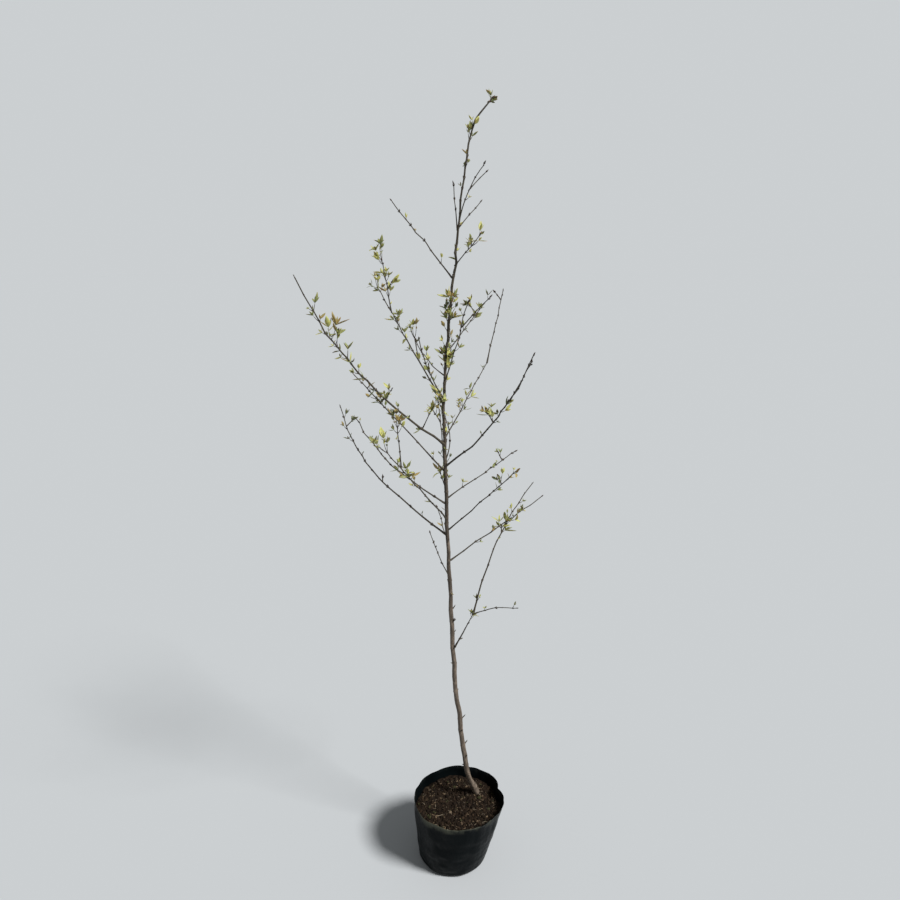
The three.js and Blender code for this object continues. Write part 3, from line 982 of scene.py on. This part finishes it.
class Ground:
    """The soil's uneven top inside the pot's wall."""

    def __init__(self, soil, pot):
        self.wall = Wall(pot)
        low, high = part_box("soil")
        self.low, self.level = low[2], high[2] - 3 * MM
        self.lumps = soil.lumps
        self.broad, self.fine = Waves(21, 46 * MM), Waves(22, 9 * MM)
        self.foot = read_plant(bpy.context.scene.sapling_growth).trunk.line[0]

    def edge(self, angle):
        """How far the soil reaches at a heading: to the film's inner face."""
        return self.wall.face(angle, np.full_like(angle, self.level)) - self.wall.film - 0.2 * MM

    def middle(self):
        return self.wall.middle(np.array(self.level))

    def height(self, x, y):
        """The level, with broad and fine lumps that fade near the trunk, and a low mound at the trunk."""
        place = np.stack([x, y, 0 * x], -1)
        away = np.hypot(x - self.foot[0], y - self.foot[1])
        mound = 4.5 * MM * np.exp(-((away / (17 * MM)) ** 2))
        lumps = self.lumps * (0.7 * self.broad.at(place) + 0.4 * self.fine.at(place))
        return self.level + mound + lumps * smooth_step(2 * MM, 14 * MM, away)


def earth_skin(ground):
    """The soil as one closed body: rings over its top from the middle to the edge, then down just
    inside the wall to its flat underside. It is stacked from the underside up, so its faces point out.
    """
    angle = (TAU * np.arange(240) / 240)[None]
    shares = np.linspace(1, 0.01, 90)[:, None]
    middle = ground.middle()
    reach = ground.edge(angle) * shares
    x, y = middle[0] + reach * np.cos(angle), middle[1] + reach * np.sin(angle)
    top = np.stack([x, y, ground.height(x, y)], -1)
    heights = np.linspace(ground.low, ground.level - 4 * MM, 8)[:, None] + 0 * angle
    wall = ground.wall
    radius = wall.face(angle + 0 * heights, heights) - wall.film - 0.4 * MM
    radius[0] -= wall.foot
    centre = wall.middle(heights)
    side = np.stack(
        [centre[..., 0] + radius * np.cos(angle), centre[..., 1] + radius * np.sin(angle), heights], -1
    )
    points = np.concatenate([side, top])
    return Skin(points.reshape(-1, 3), strand_faces(1, len(points), points.shape[1]))


def scatter(ground, count, inside, rng):
    """Seeded places on the soil, even over its area, and sunk or raised with its height."""
    angle = rng.uniform(0, TAU, count)
    reach = ground.edge(angle) * inside * np.sqrt(rng.random(count))
    middle = ground.middle()
    x, y = middle[0] + reach * np.cos(angle), middle[1] + reach * np.sin(angle)
    return np.stack([x, y, ground.height(x, y)], -1)


def crumb_skin(ground, count, sizes, flat, kinds, rng, inside=0.965, stations=6, around=7):
    """Lumpy pebbles: a closed strand whose radius is sqrt(sin(pi t)) of its size, pushed in and out by
    waves, lying at a random lean.
    """
    place = scatter(ground, count, inside, rng)
    low, high = sizes
    length = low * (high / low) ** (rng.random(count) ** 1.8)
    way = unit(rng.normal(size=(count, 3)) * [1, 1, 0.45])
    t = np.linspace(0.02, 0.98, stations)
    centres = place[:, None] + (t - 0.5)[None, :, None] * (length[:, None] * way)[:, None]
    wide = length[:, None] * 0.5 * np.sqrt(np.sin(math.pi * t))
    wide = wide * rng.uniform(0.75, 1.2, wide.shape)
    sides = np.repeat(unit(rng.normal(size=(count, 3)))[:, None], len(t), 1)
    skin = strands(centres, sides, wide, wide * flat, around=around, kinds=kinds)
    rough = Waves(31, 2.0 * MM).at(skin.points)[:, None]
    hearts = np.repeat(place, stations * around, axis=0)
    skin.points = hearts + (skin.points - hearts) * (1 + 0.15 * rough)
    return skin


def straw_skin(ground, count, rng):
    """Bits of straw and root: thin bent strands that lie on the soil."""
    place = scatter(ground, count, 0.9, rng)
    length = rng.uniform(5, 15, count) * MM
    way = unit(rng.normal(size=(count, 3)) * [1, 1, 0.12])
    bend = rng.normal(size=(count, 3)) * [0.3, 0.3, 0.08]
    lines = curved_lines(place + 1.2 * MM * UP, way, bend, length, 7)
    middle = ground.middle()
    off = lines[..., :2] - middle
    reach = np.linalg.norm(off, axis=-1, keepdims=True)
    limit = 0.93 * ground.edge(np.arctan2(off[..., 1], off[..., 0]))[..., None]
    lines[..., :2] = middle + off * np.minimum(1, limit / reach)
    lines[..., 2] = ground.height(lines[..., 0], lines[..., 1]) + 1.1 * MM
    return shoot_skin(lines, rng.uniform(0.25, 0.55, count) * MM, 0.8)


# --- Bark -------------------------------------------------------------------------------


def bark_skin(limb, joints, bark, around, step, ridges, collar=0.45):
    """A limb's bark as one closed skin.

    The radius is the limb's own, plus two shoulders at each joint under its pair of buds, a collar
    at the root, lengthwise ridges and a fine roughness. Shoulders sink into the wood as it
    thickens. `age` runs from 0 on a thin tip to 1 on the thickest wood.
    """
    stations = max(24, int(limb.length / step))
    shares = np.linspace(0, 1, stations)
    centres, _, radius = limb.at(shares)
    along = shares * limb.length
    level, high = side_axes(unit(np.gradient(centres, axis=0)))
    angle = TAU * np.arange(around) / around
    age = smooth_step(0.6 * MM, 4.6 * MM, radius)
    near = np.exp(-(((along[:, None] - (joints.shares * limb.length)[None]) / (1.6 * MM)) ** 2))
    facing = 0.3 + 0.7 * np.cos(angle[None] + joints.turns[:, None]) ** 2
    shoulders = (near * joints.swells) @ facing
    shoulders = shoulders * (bark.joint_swell * (1 - 0.75 * age) * smooth_step(0, 4 * MM, along))[:, None]
    round_it = np.stack([np.cos(angle), np.sin(angle)], -1)[None] + 0 * along[:, None, None]
    down_it = (along / (26 * MM))[:, None, None] + 0 * round_it[..., :1]
    flutes = np.concatenate([round_it, down_it], -1)
    grain = Waves(41, 1.1).at(flutes * [1, 1, 0.22]) + 0.6 * Waves(42, 0.5).at(flutes * [1, 1, 0.4])
    thinning = smooth_step(0, 2 * MM, limb.length - along) * 0.75 + 0.25
    base = radius * thinning * (1 + collar * smooth_step(18 * MM, 0, along))
    skin = base[:, None] * (1 + shoulders) + ridges * grain
    points = centres[:, None] + level[:, None] * (skin * np.cos(angle))[..., None]
    points = points - high[:, None] * (skin * np.sin(angle))[..., None]
    ages = np.repeat(age, around)
    return Skin(points.reshape(-1, 3), strand_faces(1, stations, around), {"age": ages})


# --- Operators --------------------------------------------------------------------------


class Maker:
    """What every operator here shares."""

    bl_options = {"REGISTER", "UNDO"}

    def execute(self, context):
        self.make(context.scene)
        return {"FINISHED"}


class SAPLING_OT_stage(Maker, bpy.types.Operator):
    """Add the plain floor, the soft lights and the camera"""

    bl_idname = "sapling.stage"
    bl_label = "Stage"

    def make(self, scene):
        stage = scene.sapling_stage
        self.floor(stage)
        self.lights(stage)
        camera = bpy.data.cameras.new("Camera")
        camera.lens, camera.sensor_width = stage.lens, 36
        camera.clip_start, camera.clip_end = 0.01, 200
        rig = bpy.data.objects.new("Camera", camera)
        rig.location = (stage.camera_side, -stage.camera_distance, stage.camera_height)
        rig.rotation_euler = (math.pi / 2 - stage.camera_pitch, 0, 0)
        scene.collection.objects.link(rig)
        scene.camera = rig

    def floor(self, stage):
        """A wide round floor: a fan of rings out to 60 metres."""
        angle = (TAU * np.arange(64) / 64)[None]
        reach = np.array([0.05, 0.5, 2, 8, 25, 60.0])[:, None]
        rings = np.stack([reach * np.cos(angle), reach * np.sin(angle), 0 * reach * angle], -1)
        faces = strand_faces(1, len(reach), 64)
        flat = Skin(rings.reshape(-1, 3), [faces[0][:, ::-1], faces[1][:1, ::-1]])
        mesh = bpy.data.meshes.new("Floor")
        mesh.from_pydata(flat.points.tolist(), [], [f.tolist() for s in flat.faces for f in s])
        floor = bpy.data.objects.new("Floor", mesh)
        bpy.context.scene.collection.objects.link(floor)
        net = Net("Floor", 0.9, Specular_IOR_Level=0.0)
        net.set(Base_Color=tuple(stage.floor))
        mesh.materials.append(net.material)

    def lights(self, stage):
        """A soft sun from the upper right front, and plain surroundings that light the plant less than
        they show.
        """
        sun = bpy.data.lights.new("Key", "SUN")
        sun.energy, sun.angle = stage.sun, math.radians(14)
        key = bpy.data.objects.new("Key", sun)
        key.rotation_euler = (math.radians(42), 0, math.radians(58))
        bpy.context.scene.collection.objects.link(key)
        world = bpy.data.worlds.new("Surroundings")
        world.use_nodes = True
        tree = world.node_tree
        shown = tree.nodes["Background"]
        shown.inputs["Color"].default_value = (*stage.sky, 1)
        paths = tree.nodes.new("ShaderNodeLightPath")
        dimmer = tree.nodes.new("ShaderNodeMapRange")
        dimmer.inputs["To Min"].default_value = stage.ambient
        dimmer.inputs["To Max"].default_value = 1.0
        tree.links.new(paths.outputs["Is Camera Ray"], dimmer.inputs["Value"])
        tree.links.new(dimmer.outputs["Result"], shown.inputs["Strength"])
        bpy.context.scene.world = world
        bpy.context.scene.view_settings.view_transform = "Standard"


class SAPLING_OT_pot(Maker, bpy.types.Operator):
    """Make the pot's soft film"""

    bl_idname = "sapling.pot"
    bl_label = "Pot"

    def make(self, scene):
        pot = scene.sapling_pot
        new_piece("pot_film", film_skin(pot), [film_finish(pot)], ["pot"])


class SAPLING_OT_soil(Maker, bpy.types.Operator):
    """Make the soil and the crumbs, chips and straw that lie on it"""

    bl_idname = "sapling.soil"
    bl_label = "Soil"

    def make(self, scene):
        soil = scene.sapling_soil
        ground = Ground(soil, scene.sapling_pot)
        rng = np.random.default_rng(5)
        earth, pale = tuple(soil.earth), tuple(soil.pale)
        finishes = [
            earth_finish("Dark crumbs", shade(earth, 0.75), shade(pale, 0.6), 900),
            earth_finish("Brown crumbs", shade(earth, 1.5), pale, 900),
            earth_finish("Dry crumbs", shade(pale, 0.8), shade(pale, 1.5), 900),
            earth_finish("Mossy crumbs", tuple(soil.moss), shade(tuple(soil.moss), 2), 900),
        ]
        body = earth_finish("Soil", earth, pale, 420)
        new_piece("soil_body", earth_skin(ground), [body], ["soil"])
        shares = [0.44, 0.38, 0.13, 0.05]
        kinds = rng.choice(4, soil.clods, p=shares)
        clods = crumb_skin(ground, soil.clods, (3.4 * MM, 9 * MM), 0.8, kinds, rng, 0.95, 8, 10)
        new_piece("soil_clods", clods, finishes)
        kinds = rng.choice(4, soil.crumbs, p=shares)
        crumbs = crumb_skin(ground, soil.crumbs, (1.2 * MM, 4.2 * MM), 0.85, kinds, rng, 0.975, 5, 6)
        new_piece("soil_crumbs", crumbs, finishes)
        chip, straw = tuple(soil.chip), tuple(soil.straw)
        finishes = [
            husk_finish("Tan chips", chip, shade(chip, 1.5)),
            husk_finish("Dark chips", shade(chip, 0.35), shade(chip, 0.7)),
        ]
        kinds = rng.choice(2, soil.chips, p=[0.55, 0.45])
        chips = crumb_skin(ground, soil.chips, (2.5 * MM, 9 * MM), 0.3, kinds, rng, 0.95)
        new_piece("soil_chips", chips, finishes, smooth=False)
        straws = straw_skin(ground, soil.straws, rng)
        new_piece("soil_straw", straws, [husk_finish("Straw", straw, shade(straw, 1.3))])


class SAPLING_OT_trunk(Maker, bpy.types.Operator):
    """Make the trunk's bark"""

    bl_idname = "sapling.trunk"
    bl_label = "Trunk"

    def make(self, scene):
        bark = scene.sapling_bark
        whole = read_plant(scene.sapling_growth)
        trunk = whole.trunk
        sunk = Limb("trunk", trunk.line.copy(), trunk.radius)
        sunk.line[:, 2] -= 6 * MM * np.exp(-np.linspace(0, 60, len(sunk.line)))
        skin = bark_skin(sunk, whole.joints["trunk"], bark, 40, 1.0 * MM, bark.relief, collar=0)
        finish = bark_finish("Trunk bark", bark.old, bark.young, bark.shoot)
        new_piece("trunk_bark", skin, [finish], ["trunk"])


class SAPLING_OT_boughs(Maker, bpy.types.Operator):
    """Make the bark of each bough and of the small twigs"""

    bl_idname = "sapling.boughs"
    bl_label = "Boughs"

    def make(self, scene):
        bark = scene.sapling_bark
        whole = read_plant(scene.sapling_growth)
        finish = twig_finish(bark)
        relief = bark.relief * 0.25
        for limb in whole.boughs:
            skin = bark_skin(limb, whole.joints[limb.name], bark, 14, 0.9 * MM, relief)
            new_piece(f"{limb.name}_bark", skin, [finish], [limb.name])
        twigs = [bark_skin(t, whole.joints[t.name], bark, 10, 0.9 * MM, relief) for t in whole.twigs]
        new_piece("small_twigs", joined(twigs), [finish])


class SAPLING_OT_spurs(Maker, bpy.types.Operator):
    """Make the buds and the short spurs along the limbs, with their small leaves"""

    bl_idname = "sapling.spurs"
    bl_label = "Spurs and buds"

    def make(self, scene):
        growth, bark = scene.sapling_growth, scene.sapling_bark
        whole = read_plant(growth)
        rng = np.random.default_rng(growth.seed + 1)
        sites = whole.sites
        draw = rng.random(len(sites.place))
        old = sites.height < 0.55
        spurred = (draw < 1.05 * sites.leafy - 0.05) & ~old
        snagged = (draw < 0.4) & old
        spurs = sites.pick(spurred)
        self.leaves(scene, spurs, self.stems(scene, spurs, sites.pick(snagged), rng), rng)
        self.buds(whole, growth, bark, sites.pick(~spurred & ~(old & (draw < 0.75))), rng)

    def stems(self, scene, spurs, snags, rng):
        """The spurs' stems, and dry snags of old ones on the lower trunk. The spurs' lines are given
        back.
        """
        length = rng.uniform(2, 8, len(spurs.place)) * MM * (0.6 + spurs.leafy)
        way = unit(spurs.along * 0.9 + spurs.out)
        lines = curved_lines(spurs.place, way, 0.35 * UP + 0 * way, length, 6)
        short = rng.uniform(5.5, 12, len(snags.place)) * MM
        leaning = unit(snags.out + 0.6 * snags.along)
        dry = curved_lines(snags.place - MM * snags.out, leaning, 0.2 * UP + 0 * leaning, short, 6)
        stems = shoot_skin(lines, rng.uniform(0.5, 0.75, len(lines)) * MM)
        stubs = shoot_skin(dry, rng.uniform(1.1, 1.7, len(dry)) * MM, 0.5)
        skin = joined([stems, stubs])
        skin.layers["age"] = np.full(len(skin.points), 0.2)
        new_piece("spurs", skin, [twig_finish(scene.sapling_bark)])
        return lines

    def leaves(self, scene, spurs, lines, rng):
        """Two crossing pairs of small leaves at the end of each spur."""
        growth = scene.sapling_growth
        kinds = rng.choice(4, len(lines), p=[0.4, 0.32, 0.13, 0.15])
        shape = LeafShape(growth.slimness * 0.85, 0.4)
        length = growth.spur_leaf * rng.uniform(0.45, 1.15, len(lines)) * (0.6 + 0.6 * spurs.leafy)
        tips = unit(lines[:, -1] - lines[:, -3])
        leafy = tuft(lines[:, -1], tips, length, 4, 1.05, kinds, shape, rng)
        new_piece("spur_leaves", leafy, leaf_finishes(scene.sapling_leaves))

    def buds(self, whole, growth, bark, bare, rng):
        """A bud at each bare site, and a larger one between two side buds at each limb's tip."""
        ends = [limb.at(np.array([1.0])) for limb in whole.limbs]
        place, way = (np.concatenate([e[i] for e in ends]) for i in (0, 1))
        level, _ = side_axes(way)
        zero = np.zeros(len(place))
        tips = [Sites(place - 0.6 * MM * way, level, way, zero, zero)]
        for side in (-1, 1):
            beside = place - 2 * MM * way + side * 0.4 * MM * level
            tips.append(Sites(beside, side * level, way, zero, zero).pick(rng.random(len(place)) < 0.6))
        skins = [bud_skin(bare, growth.bud, 0.75, rng), bud_skin(tips[0], growth.tip_bud, 0.05, rng)]
        skins += [bud_skin(tip, growth.tip_bud * 0.6, 0.7, rng) for tip in tips[1:]]
        finish = husk_finish("Bud scales", tuple(bark.bud), shade(bark.bud, 2.2))
        new_piece("buds", joined(skins), [finish])


class SAPLING_OT_leaf_masses(Maker, bpy.types.Operator):
    """Make the shoots and leaves of each mass of leaves and of the leafy small twigs"""

    bl_idname = "sapling.leaf_masses"
    bl_label = "Masses of leaves"

    def make(self, scene):
        growth, leaves = scene.sapling_growth, scene.sapling_leaves
        whole = read_plant(growth)
        finishes = leaf_finishes(leaves)
        shoots = []
        for index, name in enumerate(LEAF_MASSES):
            rng = np.random.default_rng(growth.seed + 100 + index)
            lines, leafy = mass_growth(name, whole.limbs, growth, rng)
            shoots.append(shoot_skin(lines, rng.uniform(0.45, 0.65, len(lines)) * MM))
            new_piece(name.replace("leaves", "foliage"), leafy, finishes, [name])
        skin = joined(shoots)
        skin.layers["age"] = np.full(len(skin.points), 0.2)
        new_piece("shoots", skin, [twig_finish(scene.sapling_bark)])
        rng = np.random.default_rng(growth.seed + 50)
        lines = np.array([twig.at(np.linspace(0, 1, 7))[0] for twig in whole.leafy_twigs])
        size_of = growth.leaf * np.clip([t.length / (30 * MM) for t in whole.leafy_twigs], 0.45, 0.85)
        leafy = sprays(lines, size_of, growth, rng)
        new_piece("twig_leaves", leafy, finishes)


def twig_finish(bark):
    """The bark of boughs, twigs, spurs and shoots, made once and shared."""
    found = bpy.data.materials.get("Twig bark")
    return found or bark_finish("Twig bark", shade(bark.old, 0.6), tuple(bark.young), tuple(bark.shoot))


def leaf_finishes(leaves):
    """The four leaf colours, made once and shared."""
    made = []
    for name in ("olive", "lime", "bronze", "green"):
        label = f"Leaf {name}"
        found = bpy.data.materials.get(label)
        made.append(found or leaf_finish(label, tuple(getattr(leaves, name))))
    return made


def sprays(lines, size_of, growth, rng):
    """Leaves along shoots: a tuft of three crossing pairs at each tip, and one smaller pair below it."""
    kinds = rng.choice(4, len(lines), p=[0.35, 0.38, 0.09, 0.18])
    shape = LeafShape(growth.slimness, 0.3)
    tips = unit(lines[:, -1] - lines[:, -2])
    parts = [tuft(lines[:, -1], tips, size_of, 6, 1.3, kinds, shape, rng)]
    for station, scale in ((4, 0.6),):
        heads = unit(lines[:, station] - lines[:, station - 1])
        parts.append(tuft(lines[:, station], heads, size_of * scale, 2, 1.0, kinds, shape, rng))
    return joined(parts)


def mass_growth(name, limbs, growth, rng):
    """Shoots that rise from the nearest limb to seeded places in a mass, with a spray of leaves on each."""
    low, high = (np.array(corner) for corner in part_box(name))
    middle, half = (low + high) / 2, (high - low) / 2
    carrier = min(limbs, key=lambda limb: distances(middle[None], limb.line).min())
    count = 3 + int(round(half.prod() / 4e-6))
    outward = unit(rng.normal(size=(count, 3)) * [1, 1, 0.6] + [0, 0, 0.2])
    spots = outward * rng.uniform(0.45, 0.85, (count, 1))
    targets = middle + half * spots
    targets[0] = middle + half * [0, 0, 0.55]
    roots = carrier.line[distances(targets - [0, 0, 0.7 * half[2]], carrier.line).argmin(1)]
    reach = targets - roots
    length = np.linalg.norm(reach, axis=1)
    sag = 0.25 * unit(across(np.broadcast_to(UP, reach.shape), unit(reach)))
    lines = curved_lines(roots, unit(reach) - sag, sag, length, 7)
    full = growth.leaf * np.clip(0.1 + 40 * half.max(), 0.5, 1.15)
    return lines, sprays(lines, full * rng.uniform(0.7, 1.1, count), growth, rng)


PIECES = (
    SAPLING_OT_stage,
    SAPLING_OT_pot,
    SAPLING_OT_soil,
    SAPLING_OT_trunk,
    SAPLING_OT_boughs,
    SAPLING_OT_spurs,
    SAPLING_OT_leaf_masses,
)


class SAPLING_PT_panel(bpy.types.Panel):
    """The sapling's pieces and settings"""

    bl_label = "Potted sapling"
    bl_space_type = "VIEW_3D"
    bl_region_type = "UI"
    bl_category = "Sapling"

    def draw(self, context):
        for piece in PIECES:
            self.layout.operator(piece.bl_idname)
        for name, group in SETTINGS.items():
            box = self.layout.box()
            for prop in group.__annotations__:
                box.prop(getattr(context.scene, name), prop)


def register():
    for name, group in SETTINGS.items():
        bpy.utils.register_class(group)
        setattr(bpy.types.Scene, name, bpy.props.PointerProperty(type=group))
    for piece in PIECES:
        bpy.utils.register_class(piece)
    bpy.utils.register_class(SAPLING_PT_panel)


def unregister():
    bpy.utils.unregister_class(SAPLING_PT_panel)
    for piece in reversed(PIECES):
        bpy.utils.unregister_class(piece)
    for name, group in SETTINGS.items():
        delattr(bpy.types.Scene, name)
        bpy.utils.unregister_class(group)


def main():
    register()
    for piece in PIECES:
        group, operator = piece.bl_idname.split(".")
        getattr(getattr(bpy.ops, group), operator)()


if __name__ == "__main__":
    main()
